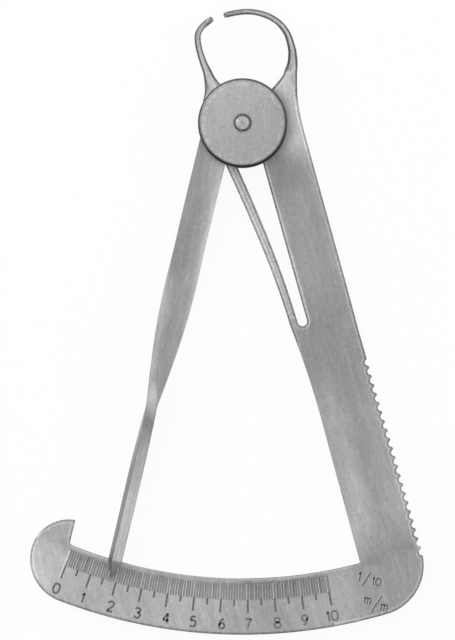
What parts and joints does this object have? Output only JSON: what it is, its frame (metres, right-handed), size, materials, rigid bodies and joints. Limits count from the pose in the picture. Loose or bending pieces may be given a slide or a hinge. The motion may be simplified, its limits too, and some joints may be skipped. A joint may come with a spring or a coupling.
{
  "type": "wax caliper",
  "caption": "Small spring-closed thickness gauge: two flat steel arms on a riveted disc pivot, curved jaws, twisted pointer and arc scale.",
  "frame": {"origin": "pivot axis, in the outer face of the back disc", "axes": "+Y from the pivot towards the jaws, +X towards the fixed arm, +Z from the back to the front"},
  "size_m": [0.0647, 0.1029, 0.0057],
  "materials": {
    "satin_steel": "satin, brushed along the arms",
    "disc_steel": "satin, faced flat",
    "pivot_steel": "plain, slightly brighter"
  },
  "bodies": {
    "frame": {"frame_plate": "satin_steel", "leaf_spring": "satin_steel", "back_disc": "disc_steel", "hub_washer": "pivot_steel", "front_disc": "disc_steel", "pivot_rivet": "pivot_steel"},
    "lever": {"pointer_lever": "satin_steel", "spring_stud": "pivot_steel"}
  },
  "joints": [
    {"name": "jaw_hinge", "type": "hinge", "parent": "frame", "child": "lever", "pos_m": [0, 0, 0.0024], "axis": [0, 0, 1], "range_deg": [-5.5, 26.5], "stiffness_Nm_per_rad": 0.15, "deforming": ["leaf_spring"]}
  ]
}
